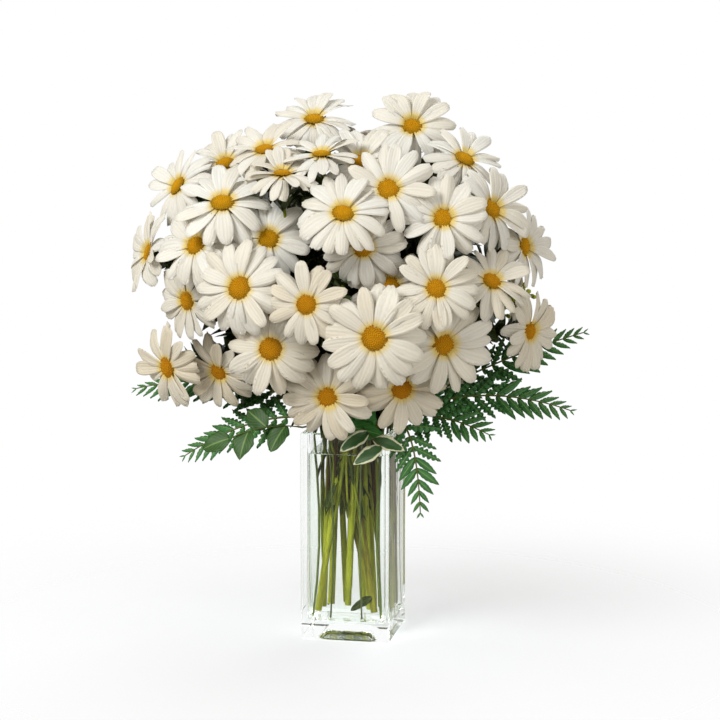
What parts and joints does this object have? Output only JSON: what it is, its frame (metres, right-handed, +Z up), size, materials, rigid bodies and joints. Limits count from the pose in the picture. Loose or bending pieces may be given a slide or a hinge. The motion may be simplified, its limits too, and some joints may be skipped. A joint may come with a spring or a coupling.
{
  "type": "daisies in a square glass vase",
  "caption": "Loose bouquet of white daisies with fern, leaves and buds, standing in a tall square clear glass vase with water.",
  "frame": {"origin": "middle of the vase's underside, on the surface that it stands on", "axes": "+Z up along the vase, -Y towards the front of the bouquet, +X to its right, with the vase's walls square to X and Y"},
  "size_m": [0.4122, 0.2848, 0.4829],
  "materials": {
    "glass": "clear polished soda-lime glass with a faint green edge",
    "water": "clear still water",
    "petal": "matte white petal, creamier in the shade, grooved lengthwise",
    "disc": "matte golden florets, darker at the rim",
    "stem": "smooth ribbed green stems and dark green leaves",
    "fern": "semi-gloss leathery fern",
    "variegated_leaf": "semi-gloss green leaf with a cream margin",
    "round_leaf": "semi-gloss dark green leaf",
    "bud": "matte yellow-green buds"
  },
  "bodies": {
    "root": {"vase": "glass", "water": "water", "stems": "stem", "bloom_a1": "petal", "bloom_a2": "petal", "bloom_a3": "petal", "bloom_a4": "petal", "bloom_b1": "petal", "bloom_b2": "petal", "bloom_b3": "petal", "bloom_c1": "petal", "bloom_c2": "petal", "bloom_c3": "petal", "bloom_c4": "petal", "bloom_d1": "petal", "bloom_d2": "petal", "bloom_d3": "petal", "bloom_e1": "petal", "bloom_e2": "petal", "bloom_e3": "petal", "bloom_f1": "petal", "bloom_f2": "petal", "bloom_f3": "petal", "bloom_f4": "petal", "bloom_g1": "petal", "bloom_g2": "petal", "bloom_g3": "petal", "bloom_h1": "petal", "bloom_h2": "petal", "bloom_h3": "petal", "bloom_h4": "petal", "bloom_i1": "petal", "bloom_i2": "petal", "bloom_i3": "petal", "bloom_i4": "petal", "bloom_i5": "petal", "bloom_j1": "petal", "bloom_j2": "petal", "bloom_j3": "petal", "bloom_j4": "petal", "bloom_k1": "petal", "bloom_k2": "petal", "bloom_k3": "petal", "bloom_k4": "petal", "bloom_l1": "petal", "bloom_l2": "petal", "bloom_l3": "petal", "bloom_l4": "petal", "bloom_l5": "petal", "fern_back": "fern", "fern_left_high": "fern", "fern_left_low": "fern", "fern_right_high": "fern", "fern_right_level": "fern", "fern_right_low": "fern", "fern_right_middle": "fern", "leaves_variegated": "variegated_leaf", "leaves_round": "round_leaf", "bud_spray": "bud"}
  },
  "joints": []
}
